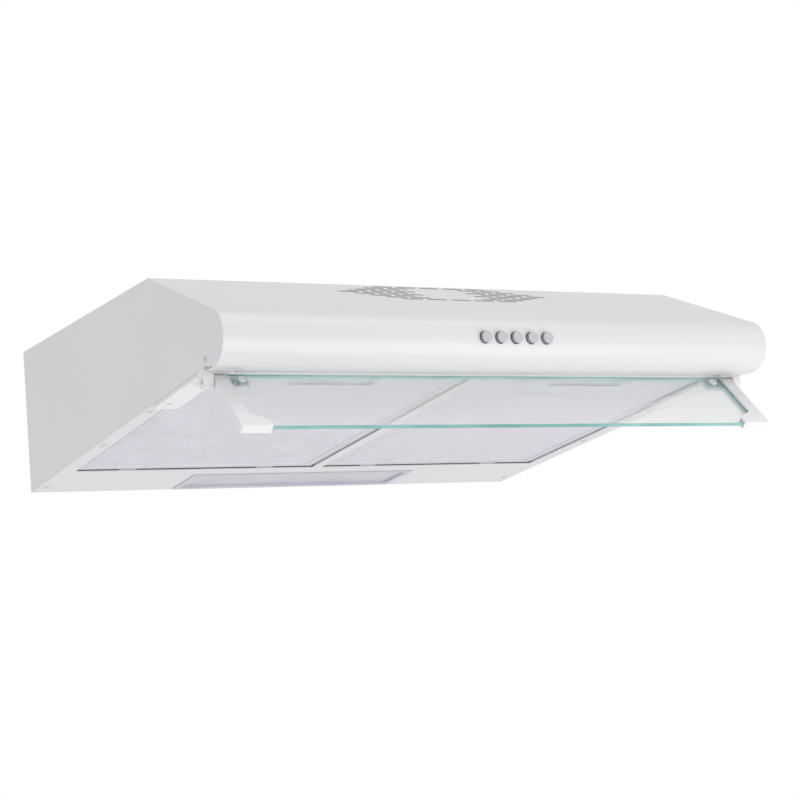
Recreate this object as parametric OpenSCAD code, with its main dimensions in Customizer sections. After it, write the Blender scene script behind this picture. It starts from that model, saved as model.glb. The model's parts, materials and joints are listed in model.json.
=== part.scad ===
// Under cabinet range hood with a swing-out glass visor, two grease filters, five push
// buttons, a centrifugal fan, a twin lamp and a top duct outlet.
// Modules work from the wall: y = 0 is the wall, -y is towards the cook, z = 0 is the top.
// The placed model has its origin at the centre of the four cabinet screws.

/* [Body] */
// Width across the side panels
body_w = 600; // [600:10:760]
// Depth from the wall to the foremost line of the nose
body_d = 520; // [520:1:530]
// Height at the wall
body_h = 155; // [155:1:160]
// Depth of the flat top
top_d = 362; // [355:1:366]
// Depth from the wall to the front lip
lip_d = 468; // [466:1:469]
// Drop from the top to the front lip
lip_drop = 107; // [106:1:108]
// Radius of the rounded nose
nose_r = 26; // [25:0.5:27]
// Drop from the top to the middle of the nose
nose_drop = 84; // [83:0.5:85]
// Thickness of the sheet steel
sheet = 1; // [0.8:0.1:1]

/* [Visor] */
// Length of the glass from its rear edge to its front edge
glass_len = 76.5; // [60:0.5:80]
// Thickness of the glass
glass_t = 4; // [3:0.5:4]
// Angle of the open visor below the horizontal
visor_angle = 46; // [40:1:60]

/* [Filters] */
// Width of each filter cassette
filter_w = 272; // [240:1:272]
// Length of each filter cassette
filter_l = 355; // [340:1:355]
// Thickness of each filter cassette
filter_t = 8; // [7:0.5:9]

/* [Controls] */
// Diameter of each push button
button_d = 11; // [9:0.5:11]
// Distance between neighbouring buttons
button_pitch = 17; // [15:0.5:18]
// How far a released button stands out of the nose
button_out = 4.5; // [4:0.5:6]

/* [Air path] */
// Outside diameter of the duct spigot
spigot_d = 120; // [100:5:120]
// Height of the spigot above the top
spigot_h = 30; // [20:1:40]
// Radius of the fan wheel
wheel_r = 71; // [68:1:71]
// Number of fan blades
blade_count = 36; // [24:1:40]

/* [Hidden] */
$fn = 64;

// ---- body values ----
wall_y = 190;                           // from the origin to the wall
half_w = body_w / 2;
inner_w = body_w - 2 * sheet;           // between the side panels
nose_y = nose_r - body_d;               // centre of the nose
nose_z = -nose_drop;
nose_screw = [-479, -100];              // screw at each end of the nose
corner_to_nose = norm([nose_y + top_d, nose_z]);
slope_angle = atan(nose_drop / (-nose_y - top_d)) - asin(nose_r / corner_to_nose);
slope_len = sqrt(pow(corner_to_nose, 2) - pow(nose_r, 2));
base_angle = atan((body_h - lip_drop) / lip_d);
lip_rear = -470;                        // rear edge of the lip under the nose
lip_notch = -477.5;                     // the same, where the lip is cut back for the visor arms
lip_notch_x = 268;
lip_end = -480;                         // front edge of the base sheet, along the base
top_hole_x = 250;                       // cabinet screws, from the middle
top_hole_y = 130;                       // cabinet screws, from the origin
wall_hole_x = 220;                      // wall screws, from the middle
wall_hole_z = -30;

// ---- values along the sloping base: y from the wall, z up from its lower face ----
bar_w = 12;                             // bar between the filters
filter_gap = 2.5;                       // air round a filter
filter_rear = -96.5;
filter_z = 1.3;
filter_x = bar_w / 2 + filter_gap + filter_w / 2;
filter_rim = 10;
latch_w = 84;
latch_l = 22;
lens_w = 262;
lens_l = 52;
lens_mid = -37;
lens_rim = 7;
pivot_y = -469.3;
pivot_z = -11;
boss_r = 6.7;
arm_out = 290;                          // outer face of a visor arm

// ---- air path values ----
spigot_y = -115;
spigot_wall = 2;
duct_w = 126;
duct_front = -177;
duct_rear = -53;
fan_x = -67;
fan_y = -262;
scroll_step = 12;                       // growth of the scroll in a quarter turn
scroll_r = 84;
scroll_top = -36;
scroll_low = -92;
skin = 2;                               // wall of the plastic mouldings
guard_t = 2;                            // thickness of the inlet guard
flap_z = 12;
flap_t = 1.2;
flap_seat = flap_z - flap_t / 2 - 0.3;
pin_r = 1.5;

// ---- helpers ----
function base_z(y, up = 0) = -body_h - y * tan(base_angle) + up / cos(base_angle);

// Moves the model from the wall to its own origin.
module place() translate([0, wall_y, 0]) children();

// A frame on the sloping base: y runs along it to the wall, z stands on its lower face.
module on_base() translate([0, 0, -body_h]) rotate([-base_angle, 0, 0]) children();

// A frame on the sloping front, from its top edge.
module on_slope() translate([0, -top_d, 0]) rotate([slope_angle, 0, 0]) children();

// A frame on the open visor, from its pivot.
module on_visor()
  on_base() translate([0, pivot_y, pivot_z]) rotate([visor_angle + base_angle, 0, 0]) children();

// Extrudes a (y, z) outline across the hood.
module across(w, x = 0) translate([x - w / 2, 0, 0]) rotate([90, 0, 90]) linear_extrude(w) children();

// A box between two corners.
module box(low, high) translate(low) cube(high - low);

// A straight cylinder along x, between two places.
module rod_x(x0, x1, r) translate([min(x0, x1), 0, 0]) rotate([0, 90, 0]) cylinder(r = r, h = abs(x1 - x0));

// A straight cylinder along y, between two places.
module rod_y(y0, y1, r) translate([0, max(y0, y1), 0]) rotate([90, 0, 0]) cylinder(r = r, h = abs(y1 - y0));

// A straight cylinder along z, between two places.
module rod_z(z0, z1, r) translate([0, 0, min(z0, z1)]) cylinder(r = r, h = abs(z1 - z0));

// A ring sector in two dimensions.
module arc_band(r, t, from, to) {
  intersection() {
    difference() {
      circle(r, $fn = 128);
      circle(r - t, $fn = 128);
    }
    far = [for (i = [0:4]) let (a = from + (to - from) * i / 4) 3 * r * [cos(a), sin(a)]];
    polygon(concat([[0, 0]], far));
  }
}

// A slot with round ends, lying along x.
module slot_2d(l, w) {
  square([l - w, w], center = true);
  for (s = [-1, 1]) translate([s * (l - w) / 2, 0]) circle(d = w, $fn = 32);
}

// A rectangle with round corners, built without offset so that its corners stay true arcs.
module soft_rect(w, l, r) {
  square([w - 2 * r, l], center = true);
  square([w, l - 2 * r], center = true);
  for (x = [-1, 1], y = [-1, 1]) translate([x * (w / 2 - r), y * (l / 2 - r)]) circle(r, $fn = 32);
}

// A pan-head screw pointing up from its seat at z = 0.
module screw(shank, head_r = 3.4, head_h = 1.7, shank_r = 1.6) {
  rod_z(0, shank, shank_r);
  difference() {
    rod_z(-head_h, 0, head_r);
    for (a = [0, 90]) rotate(a) box([-2, -0.4, -head_h - 1], [2, 0.4, -head_h + 0.8]);
  }
}

// ---- casing ----
module body_outline() {
  polygon([
    [0, 0], [-top_d, 0],
    [-top_d - slope_len * cos(slope_angle), -slope_len * sin(slope_angle)],
    [nose_y, nose_z], [nose_y, base_z(nose_y)], [0, -body_h]
  ]);
  translate([nose_y, nose_z]) circle(nose_r, $fn = 128);
}

// The countersunk screw at each end of the nose, pointing inwards along x.
module at_nose_screws() for (side = [-1, 1])
  translate([side * half_w, nose_screw[0], nose_screw[1]]) rotate([0, -side * 90, 0]) children();

module side_panel(side) {
  flange = 14;
  inside = half_w - sheet;
  color("white") {
    difference() {
      across(sheet, side * (half_w - sheet / 2)) difference() {
        body_outline();
        translate([nose_y + 3, nose_z - nose_r - 1]) square([13, 3.2]);
      }
      at_nose_screws() {
        rod_z(-5, 0.7, 3.15);
        rod_z(-5, 5, 1.8);
      }
    }
    mirror([side > 0 ? 0 : 1, 0, 0]) {
      box([inside - flange, -340, -2 * sheet], [inside + 0.5, -3, -sheet]);
      on_base() difference() {
        box([inside - flange, -452, sheet], [inside + 0.5, -12, 2 * sheet]);
        for (y = concat(base_screw_ys, bracket_screw_ys)) translate([side_screw_x, y, 0]) rod_z(-5, 5, 1.8);
      }
    }
  }
}

module top_panel() {
  color("white") difference() {
    box([-inner_w / 2, -top_d + sheet, -sheet], [inner_w / 2, 0, 0]);
    translate([0, spigot_y, 0]) rod_z(-5, 5, spigot_d / 2 + 5);
    for (x = [-1, 1], y = [-1, 1])
      translate([x * top_hole_x, y * top_hole_y - wall_y, 0]) rod_z(-5, 5, 3);
    for (x = panel_screw_xs) translate([x, panel_screw_y, 0]) rod_z(-5, -0.2, 1.7);
  }
}

module back_panel() {
  color("white") difference() {
    box([-inner_w / 2, -sheet, -body_h + sheet], [inner_w / 2, 0, -sheet]);
    for (x = [-1, 1]) translate([x * wall_hole_x, 0, wall_hole_z]) rod_y(-5, 5, 4);
    translate([gland_x, 0, gland_z]) rod_y(-5, 5, gland_r);
  }
}

// Slots that let filtered air back into the room: staggered rows in an oval ring with a plain middle.
slot_l = 23;
slot_w = 5.6;
slot_pitch = 27;
row_pitch = 8;
vent_mid = 40;                          // middle of the ring, down the slope from its top edge
ring_out = [110, 37];
ring_in = [34, 27];

function in_oval(x, y, r) = pow(x / r[0], 2) + pow(y / r[1], 2) < 1;
vent_places = [for (row = [-4:4], n = [-4:4])
  let (x = (n + (row % 2 == 0 ? 0 : 0.5)) * slot_pitch, y = row * row_pitch)
    if (in_oval(x, y, ring_out) && !in_oval(x, y, ring_in)) [x, y]];

module front_panel() {
  low = nose_z - nose_r;
  color("white") difference() {
    union() {
      across(inner_w) {
        translate([-top_d, 0]) rotate(slope_angle) translate([-slope_len, -sheet]) square([slope_len, sheet]);
        translate([nose_y, nose_z]) arc_band(nose_r, sheet, 90 + slope_angle - 1, 271);
        polygon([[-top_d, 0], [-top_d + sheet, -sheet], [-top_d + 18, -sheet], [-top_d + 18, -2 * sheet],
          [-top_d - 2, -2 * sheet]]);
        translate([nose_y, low]) square([lip_notch - nose_y, sheet]);
      }
      across(2 * lip_notch_x) polygon([
        [lip_notch - sheet, low], [lip_rear, low], [lip_rear, base_z(lip_rear)],
        [lip_rear - sheet, base_z(lip_rear - sheet)], [lip_rear - sheet, low + sheet],
        [lip_notch - sheet, low + sheet]
      ]);
      for (side = [-1, 1]) across(2 * sheet, side * (inner_w / 2 - sheet))
        polygon([
          [-490, low + sheet], [-490, -94], [-474, -94], [-474, -103], [-479, -104], [-479, low + 0.5]
        ]);
    }
    at_nose_screws() rod_z(-5, 10, 1.7);
    for (x = panel_screw_xs) translate([x, panel_screw_y, 0]) rod_z(-5, 5, 1.7);
    on_slope() translate([0, -vent_mid, -6]) linear_extrude(12)
      for (place = vent_places) translate(place) slot_2d(slot_l, slot_w);
    for (i = [-2:2]) translate([i * button_pitch, -body_d, nose_z]) rod_y(-5, 12, button_d / 2 + 0.5);
  }
}

// ---- base ----
module filter_window(side) {
  translate([side * filter_x, filter_rear - filter_l / 2])
    square([filter_w + 2 * filter_gap, filter_l + 2 * filter_gap], center = true);
}

side_screw_x = 291;
base_screw_ys = [-25, -200, -330];
bracket_screw_ys = [-372, -440];

// Repeats a fixing on both sides of the base.
module at_screws(ys) for (x = [-side_screw_x, side_screw_x], y = ys) translate([x, y, 0]) children();

module base_frame() {
  lip = 8;
  edge = filter_x + filter_w / 2 + filter_gap;
  front = filter_rear - filter_l - filter_gap;
  color("white") on_base() {
    difference() {
      linear_extrude(sheet) difference() {
        translate([-inner_w / 2, lip_end]) square([inner_w, -lip_end - 1.2]);
        for (side = [-1, 1]) filter_window(side);
        translate([0, lens_mid]) square([lens_w + 4, lens_l + 4], center = true);
        at_screws(concat(base_screw_ys, bracket_screw_ys)) circle(1.9);
      }
    }
    for (side = [-1, 1]) mirror([side > 0 ? 0 : 1, 0, 0]) {
      difference() {
        box([bar_w / 2 - sheet, front - sheet, 0.5], [edge + sheet, filter_rear - 4, lip]);
        box([bar_w / 2, front, 0], [edge, filter_rear, lip + 1]);
      }
    }
  }
}

module base_screws() {
  color("silver") on_base() at_screws(base_screw_ys) screw(7);
}

panel_screw_xs = [-200, 0, 200];
panel_screw_y = -top_d + 9;

module panel_screws() {
  color("silver") {
    for (x = panel_screw_xs) translate([x, panel_screw_y, -2 * sheet]) screw(1.7);
    at_nose_screws() difference() {
      union() {
        rod_z(0.1, 0.7, 3);
        rod_z(0.1, 7, 1.6);
      }
      for (a = [0, 90]) rotate(a) box([-2, -0.4, -1], [2, 0.4, 0.5]);
    }
  }
}

// ---- visor ----
module visor_bracket(side) {
  plate_t = 4;
  color("whitesmoke") on_base() difference() {
    mirror([side > 0 ? 0 : 1, 0, 0]) {
      box([275, -476, -plate_t], [299, -354, 0]);
      box([arm_out + 0.6, pivot_y - boss_r, pivot_z], [300, pivot_y + boss_r, 0]);
      translate([0, pivot_y, pivot_z]) rod_x(arm_out + 0.6, 300, boss_r);
    }
    translate([0, pivot_y, pivot_z]) rod_x(side * 280, side * 310, 2.55);
    at_screws(bracket_screw_ys) {
      rod_z(-10, 5, 1.9);
      rod_z(-10, -plate_t + 2, 3.6);
    }
  }
}

module bracket_screws() {
  color("silver") on_base() translate([0, 0, -2]) at_screws(bracket_screw_ys) screw(8);
}

module visor_pin(side) {
  color("silver") on_base() translate([0, pivot_y, pivot_z]) rod_x(side * 278, side * 300, 2.5);
}

glass_low = 0.6;                        // underside of the glass above the pivot plane
glass_rear = 5.5;
glass_half = 276;
pad_wall = 1.6;                         // plastic in front of the glass
pad_in = 260;                           // inner end of a pad
clip_x = 264;
clip_y = -3;

module visor_glass() {
  color([0.7, 0.88, 0.85, 0.4]) on_visor() difference() {
    translate([0, glass_rear - glass_len / 2, glass_low]) linear_extrude(glass_t)
      soft_rect(2 * glass_half, glass_len, 1.5);
    for (s = [-1, 1]) translate([s * clip_x, clip_y, 0]) rod_z(-2, 10, 2.2);
  }
}

module visor_arm(side) {
  front = glass_rear - glass_len - 0.3 - pad_wall;
  inner = glass_half + 0.6;
  thick = glass_t + 4.6;
  color("white") on_visor() difference() {
    mirror([side > 0 ? 0 : 1, 0, 0]) {
      translate([0, 0, -2]) linear_extrude(thick) {
        polygon([
          [inner, 0], [arm_out, 0], [arm_out, front + 3], [arm_out - 3, front],
          [pad_in, front], [pad_in, front + 10], [inner, front + 18]
        ]);
        translate([arm_out - 3, front + 3]) circle(3, $fn = 32);
      }
      box([256, -9, -2], [inner + 0.8, 3, glass_low - 0.1]);
      rod_x(inner + 0.4, arm_out, 6.5);
    }
    mirror([side > 0 ? 0 : 1, 0, 0])
      box([pad_in - 10, front + pad_wall, glass_low - 0.1], [glass_half + 0.2, 20, glass_low + glass_t + 0.1]);
    rod_x(side * 277.6, side * 300, 2.58);
    translate([side * clip_x, clip_y, 0]) rod_z(-5, 20, 1.9);
  }
}

module visor_glass_clips() {
  color("white") on_visor() for (s = [-1, 1]) translate([s * clip_x, clip_y, 0]) {
    rod_z(-2, glass_low + glass_t, 1.85);
    rod_z(glass_low + glass_t, glass_low + glass_t + 1.8, 4);
  }
}

// ---- filters ----
// Moves a part of the filter on one side from the middle of its rear lower edge.
module at_filter(side) on_base() translate([side * filter_x, filter_rear, filter_z]) children();

latch_y = -filter_l + 5 + latch_l / 2;  // middle of the latch, from the rear edge
tongue_gap = 0.9;                       // air between the tongue and the edge of the window
pocket_w = latch_w + 12;
pocket_l = 34.5;

module filter_frame(side) {
  tab = [20, 6.5, 1.2];
  w = filter_w / 2 - filter_rim;
  color("silver") at_filter(side) {
    difference() {
      box([-filter_w / 2, -filter_l, 0], [filter_w / 2, 0, filter_t]);
      box([-w, -filter_l + filter_rim, -1], [w, -filter_rim, filter_t + 1]);
      latch_pocket();
    }
    difference() {
      box([-pocket_w / 2, -filter_l + filter_rim, 0], [pocket_w / 2, -filter_l + pocket_l, filter_t - 1]);
      latch_pocket();
    }
    for (x = [-80, 80]) translate([x - tab[0] / 2, 0, 0]) cube(tab);
  }
}

module latch_pocket() {
  box([-latch_w / 2 - 0.5, -filter_l + 4.5, -1], [latch_w / 2 + 0.5, -filter_l + 33, 4.6]);
  box([-latch_w / 2 - 3.3, -filter_l + 4.5, 2.6], [latch_w / 2 + 3.3, -filter_l + 33, 4.6]);
  box([-15.5, -filter_l - 1, 1.5], [15.5, -filter_l + 5, 3.9]);
}

module filter_mesh(side) {
  w = filter_w / 2 - filter_rim;
  t = 0.6;
  color("gainsboro") at_filter(side) for (z = [0.8, filter_t - 0.8 - t]) difference() {
    box([-w, -filter_l + filter_rim, z], [w, -filter_rim, z + t]);
    box([-pocket_w / 2, -filter_l - 1, -1], [pocket_w / 2, -filter_l + pocket_l, filter_t + 1]);
  }
}

module filter_latch(side) {
  color("silver") at_filter(side) difference() {
    union() {
      box([-latch_w / 2, latch_y - latch_l / 2, 0.3], [latch_w / 2, latch_y + latch_l / 2, 4.3]);
      box([-latch_w / 2 - 2.8, latch_y - latch_l / 2, 2.9], [latch_w / 2 + 2.8, latch_y + latch_l / 2, 4.3]);
      box([-15, -filter_l - filter_gap + tongue_gap, 1.8], [15, -filter_l + 6, 3.6]);
    }
    translate([0, latch_y, -3]) linear_extrude(6) soft_rect(latch_w - 12, latch_l - 10, 4);
  }
}

// ---- controls ----
button_names = ["off", "low", "medium", "high", "light"];
block_front = -509;
block_rear = -488;
ear_x = 50;                             // screws of the switch block
ear_t = 3;

module at_ears() for (s = [-1, 1]) translate([s * ear_x, 0, nose_z]) children();

module button(i) {
  r = button_d / 2;
  color("silver") translate([(i - 2) * button_pitch, 0, nose_z]) {
    rod_y(-body_d - button_out + 0.8, -513, r);
    translate([0, -body_d - button_out + 0.8, 0]) rotate([90, 0, 0]) cylinder(r1 = r, r2 = r - 0.8, h = 0.8);
    rod_y(-513, -497, 2.5);
  }
}

module switch_block() {
  color("dimgray") difference() {
    union() {
      box([-46, block_front, nose_z - 9], [46, block_rear, nose_z + 9]);
      box([-ear_x - 4, block_rear - ear_t, nose_z - 6], [ear_x + 4, block_rear, nose_z + 6]);
    }
    for (i = [-2:2]) translate([i * button_pitch, 0, nose_z]) rod_y(block_front - 5, -493, 2.7);
    at_ears() rod_y(block_rear - 10, block_rear + 5, 1.7);
  }
}

module switch_bracket() {
  top = nose_z + 9;
  t = 1.2;
  heel = block_rear + t;
  toe = -462;
  color("gainsboro") difference() {
    across(2 * ear_x + 8) polygon([
      [block_rear, top], [heel, top], [heel, base_z(heel, sheet + t)], [toe, base_z(toe, sheet + t)],
      [toe, base_z(toe, sheet)], [block_rear, base_z(block_rear, sheet)]
    ]);
    at_ears() rod_y(block_rear - 5, block_rear + 5, 1.7);
  }
}

module switch_screws() {
  color("silver") at_ears() translate([0, block_rear - ear_t, 0]) rotate([-90, 0, 0]) screw(6, 3);
}

// ---- outlet ----
module outlet_duct() {
  w = duct_w / 2;
  top = -3;
  color("dimgray") {
    difference() {
      box([-w, duct_front, scroll_low], [w, duct_rear, top]);
      box([-w + skin, duct_front + skin, scroll_low + skin], [w - skin, duct_rear - skin, top - skin]);
      translate([0, spigot_y, 0]) rod_z(-20, 5, spigot_d / 2 - spigot_wall);
      box([-45, duct_front - 5, scroll_low + skin], [45, duct_front + 5, scroll_top - skin]);
      for (x = shutter_windows) box([x - 7, duct_front - 5, -30], [x + 7, duct_front + 5, -14]);
    }
    for (z = [-34.6, -10]) {
      box([-56, duct_front - 1.8, z], [56, duct_front, z + 1.4]);
      lip_z = z < -20 ? z + 1.4 : z - 1.2;
      box([-56, duct_front - 3.2, min(z, lip_z)], [56, duct_front - 1.8, max(z + 1.4, lip_z + 1.2)]);
    }
  }
}

shutter_windows = [-28, 0, 28];

module air_shutter() {
  y0 = duct_front - 1.6;
  color("gray") {
    difference() {
      box([-41, y0, -33], [35.4, duct_front - 0.2, -10.3]);
      for (x = shutter_windows) if (x < 20) box([x + 7.5, y0 - 1, -30], [x + 20.5, y0 + 5, -14]);
    }
    box([31, y0 - 9, -25], [34, y0, -18]);
  }
}

module outlet_spigot() {
  r = spigot_d / 2;
  color("dimgray") translate([0, spigot_y, 0]) difference() {
    union() {
      rod_z(-3, spigot_h, r);
      rod_z(-3, -sheet, r + 14);
    }
    rod_z(-10, flap_seat, r - 5);
    rod_z(flap_seat, spigot_h + 5, r - spigot_wall);
    translate([0, 0, flap_z]) rod_x(-r + 0.8, r - 0.8, pin_r + 0.02);
  }
}

module flap_pin() {
  r = spigot_d / 2;
  color("silver") translate([0, spigot_y, flap_z]) rod_x(-r + 0.8, r - 0.8, pin_r);
}

// One half-round flap; side -1 opens towards the front. Knuckles of the two take turns on the pin.
module draft_flap(side) {
  r = spigot_d / 2 - spigot_wall - 1.2;
  knuckles = side < 0 ? [[-46, -24], [24, 46]] : [[-22, 22]];
  color("gray") translate([0, spigot_y, flap_z]) difference() {
    union() {
      intersection() {
        rod_z(-flap_t / 2, flap_t / 2, r);
        translate([-r, side > 0 ? 3.8 : -r - 3.8, -1]) cube([2 * r, r, 2]);
      }
      for (k = knuckles) {
        rod_x(k[0], k[1], 3);
        translate([k[0], side > 0 ? 0 : -5, -flap_t / 2]) cube([k[1] - k[0], 5, flap_t]);
      }
    }
    rod_x(-r - 5, r + 5, pin_r + 0.08);
  }
}

// ---- fan ----
exit_x = fan_x + scroll_step / 2 + scroll_r + 2 * scroll_step;   // outer wall of the exit
neck_x = fan_x + 20;                                             // inner wall of the exit

module scroll_2d(inset = 0, past = 0) {
  h = scroll_step / 2;
  module quarter(c, r, x, y) translate(c) intersection() {
    circle(r - inset, $fn = 128);
    translate([x, y]) square(300);
  }
  quarter([fan_x - h, fan_y - h], scroll_r, -300, 0);
  quarter([fan_x + h, fan_y - h], scroll_r + scroll_step, -300, -300);
  quarter([fan_x + h, fan_y + h], scroll_r + 2 * scroll_step, 0, -300);
  translate([fan_x - h - 1, fan_y - h - 1]) square([exit_x - inset - fan_x + h + 1, scroll_r - inset + 1]);
  translate([fan_x - h - 1, fan_y - h - 1]) square([2 * h + 2, 2 * h + 2]);
  translate([neck_x + inset, fan_y]) square([exit_x - neck_x - 2 * inset, duct_front - fan_y + past]);
}

module fan_housing_lower() {
  color("dimgray") difference() {
    translate([0, 0, scroll_low]) linear_extrude(scroll_top - scroll_low - skin) scroll_2d();
    translate([0, 0, scroll_low + skin]) linear_extrude(100) scroll_2d(skin, 10);
    translate([fan_x, fan_y, 0]) rod_z(-200, 0, 58);
  }
}

module fan_housing_upper() {
  color("dimgray") difference() {
    translate([0, 0, scroll_top - skin]) linear_extrude(skin) scroll_2d();
    translate([fan_x, fan_y, 0]) rod_z(-200, 0, 9);
  }
}

module fan_wheel() {
  low = -87;
  top = -41.5;
  color("gainsboro") translate([fan_x, fan_y, 0]) difference() {
    union() {
      rod_z(top - 1.6, top, wheel_r);
      rod_z(-60, top, 9);
      difference() {
        rod_z(low, low + 2, wheel_r);
        rod_z(low - 1, low + 5, wheel_r - 11);
      }
      for (i = [0:blade_count - 1]) rotate(i * 360 / blade_count)
        translate([wheel_r - 12, -5, low + 0.5]) linear_extrude(top - low - 1) arc_band(11, 1.2, 10, 72);
    }
    rod_z(-100, 0, 3.02);
  }
}

module motor_shaft() {
  color("silver") translate([fan_x, fan_y, 0]) rod_z(-64, -13, 3);
}

module motor() {
  color("lightgray") translate([fan_x, fan_y, 0]) difference() {
    union() {
      rod_z(-36, -34, 50);
      rod_z(-34, -27, 40);
      rod_z(-27, -14, 44);
      rod_z(-14, -8, 38);
      for (i = [0:11]) rotate(i * 30) box([36, -1, -34], [43, 1, -10]);
    }
    rod_z(-50, -12, 3.1);
    for (a = motor_screw_angles) rotate(a) translate([46, 0, 0]) rod_z(-60, 0, 2);
  }
}

motor_screw_angles = [15, 135, 255];

module motor_screws() {
  color("silver") translate([fan_x, fan_y, 0]) for (a = motor_screw_angles)
    rotate(a) translate([46, 0, -34]) mirror([0, 0, 1]) screw(2, 3, 1.6, 1.8);
}

module fan_posts() {
  color("silver") translate([fan_x, fan_y, 0]) for (a = [65, 155, 245, 335])
    rotate(a) translate([69, 0, 0]) rod_z(scroll_top, -sheet, 5);
}

module inlet_guard() {
  color("gray") translate([fan_x, fan_y, scroll_low - guard_t]) linear_extrude(guard_t) {
    circle(18);
    for (r = [32, 46, 62]) difference() {
      circle(r);
      circle(r - 3);
    }
    for (a = [30, 90, 150]) rotate(a) square([121, 3], center = true);
  }
}

module charcoal_filter() {
  color("darkslategray") translate([fan_x, fan_y, 0]) difference() {
    union() {
      rod_z(-108, scroll_low - guard_t, 74);
      rod_z(-109.5, -108, 70);
    }
    for (r = [24, 40, 56], a = [0:30:330]) rotate(a) translate([r, 0, 0]) rod_z(-112, -106, 2.5);
  }
}

// ---- lamp ----
lamp_z = 22;
holder_r = 13;

module lamp_tray() {
  w = lens_w / 2 + 4;
  l = lens_l / 2 + 4;
  color("gainsboro") on_base() translate([0, lens_mid, 0]) difference() {
    box([-w, -l, sheet], [w, l, 41]);
    box([-w + 1, -l + 1, -1], [w - 1, l - 1, 40]);
    for (s = [-1, 1]) translate([0, 0, lamp_z]) rod_x(s * (w - 3), s * (w + 3), 5);
  }
}

module lamp_lens() {
  w = lens_w / 2;
  l = lens_l / 2;
  module ring(g, t) linear_extrude(t) difference() {
    soft_rect(2 * (w + g), 2 * (l + g), 3);
    soft_rect(2 * w, 2 * l, 2);
  }
  color([0.85, 0.85, 0.9, 0.6]) on_base() translate([0, lens_mid, -sheet]) {
    ring(lens_rim, sheet);
    ring(1.5, 4.5);
    translate([0, 0, 3]) linear_extrude(1.5) soft_rect(2 * w + 2, 2 * l + 2, 2);
  }
}

module lamp_holder(side) {
  color("whitesmoke") on_base() translate([0, lens_mid, lamp_z]) difference() {
    union() {
      rod_x(side * 108, side * 130, holder_r);
      rod_x(side * 130, side * (lens_w / 2 + 3), 15);
    }
    rod_x(side * 100, side * 122, 7.1);
  }
}

// Half outline of a candle bulb: radius against distance from the cap's end.
bulb_outline = [
  [0, 0], [5, 0], [7, 2], [7, 21], [8, 23], [13, 33], [16, 43], [17, 54], [15.8, 66], [12, 79],
  [7, 88], [2, 93], [0, 94]
];

module bulb(side) {
  color("white") on_base() translate([side * 121, lens_mid, lamp_z])
    rotate([0, -side * 90, 0]) rotate_extrude() polygon(bulb_outline);
}

// ---- electrics ----
gland_x = 190;
gland_z = -20;
gland_r = 9;
box_low = -32;

module cable_gland() {
  color("black") translate([gland_x, 0, gland_z]) difference() {
    union() {
      rod_y(-sheet, 0, gland_r - 0.1);
      rod_y(-sheet - 5, -sheet, gland_r + 3);
    }
    rod_y(-20, 5, 4);
  }
}

module terminal_box() {
  color("whitesmoke") difference() {
    box([165, -100, box_low], [245, -66, -sheet]);
    box([167, -98, box_low - 1], [243, -68, -sheet - 2]);
    translate([gland_x, 0, gland_z]) rod_y(-70, -60, 4.2);
    for (x = [200, 225]) translate([x, 0, -20]) rod_y(-104, -94, 4.2);
    translate([0, -83, -20]) rod_x(160, 170, 3);
  }
}

module terminal_cover() {
  color("whitesmoke") {
    box([165, -100, box_low - 2], [245, -66, box_low]);
    box([167.2, -97.8, box_low], [242.8, -68.2, box_low + 2]);
  }
}

module capacitor() {
  color("lightgray") translate([110, 0, -22]) {
    rod_y(-300, -250, 14);
    for (x = [-5, 5]) translate([x, 0, 0]) rod_y(-250, -242, 1.5);
  }
}

module capacitor_clip() {
  color("silver") translate([110, 0, -22]) difference() {
    union() {
      rod_y(-282, -268, 15.2);
      box([-15.2, -282, 0], [15.2, -268, 20]);
      box([-24, -282, 20], [24, -268, 21]);
    }
    rod_y(-300, -250, 14.05);
    box([-14.05, -290, 0], [14.05, -260, 19]);
    box([-3, -290, -20], [3, -260, 0]);
  }
}

// ---- leads held inside the casing ----
// Routes are lists of points from the wall; each lead is one tube swept along a smooth curve.
function curve(p0, p1, p2, p3, t) =
  0.5 * (2 * p1 + (p2 - p0) * t + (2 * p0 - 5 * p1 + 4 * p2 - p3) * pow(t, 2)
    + (3 * p1 - p0 - 3 * p2 + p3) * pow(t, 3));
function smooth(p, steps) = [
  for (i = [0:len(p) - 2], k = [0:steps - 1])
    curve(p[max(i - 1, 0)], p[i], p[i + 1], p[min(i + 2, len(p) - 1)], k / steps),
  p[len(p) - 1]
];
function unit(v) = v / norm(v);
function heading(p, i) = unit(p[min(i + 1, len(p) - 1)] - p[max(i - 1, 0)]);
function side_of(d) = unit(cross(d, abs(d[2]) > 0.9 ? [0, 1, 0] : [0, 0, 1]));

module lead(points, d, steps = 5) {
  sides = 8;
  path = smooth(points, steps);
  n = len(path);
  rings = [for (i = [0:n - 1]) let (h = heading(path, i), u = side_of(h), v = cross(h, u))
    for (k = [0:sides - 1]) path[i] + d / 2 * (cos(k * 360 / sides) * u + sin(k * 360 / sides) * v)];
  walls = [for (i = [0:n - 2], k = [0:sides - 1]) let (a = i * sides, m = (k + 1) % sides)
    [a + k, a + sides + k, a + sides + m, a + m]];
  ends = [[for (k = [0:sides - 1]) k], [for (k = [sides - 1:-1:0]) (n - 1) * sides + k]];
  polyhedron(rings, concat(walls, ends));
}

switch_route = [[225, -99, -20], [225, -125, -20], [240, -160, -14], [255, -230, -9], [255, -330, -9],
  [240, -390, -35], [190, -440, -62], [120, -468, -80], [84, -484, -84], [66, -498, -84],
  [56, -500, -84], [46.4, -500, -84]];
motor_route = [[200, -99, -20], [200, -130, -22], [175, -170, -26], [125, -210, -24], [60, -230, -20],
  [10, -242, -20], [-23, -251, -20]];
lamp_route = [[166, -83, -20], [154, -81, -24], [149, -72, -50], [149, -58, -90], [148, -44, -117],
  [142.5, -35.5, -128.5], [134.5, -34.6, -129.3]];

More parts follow.
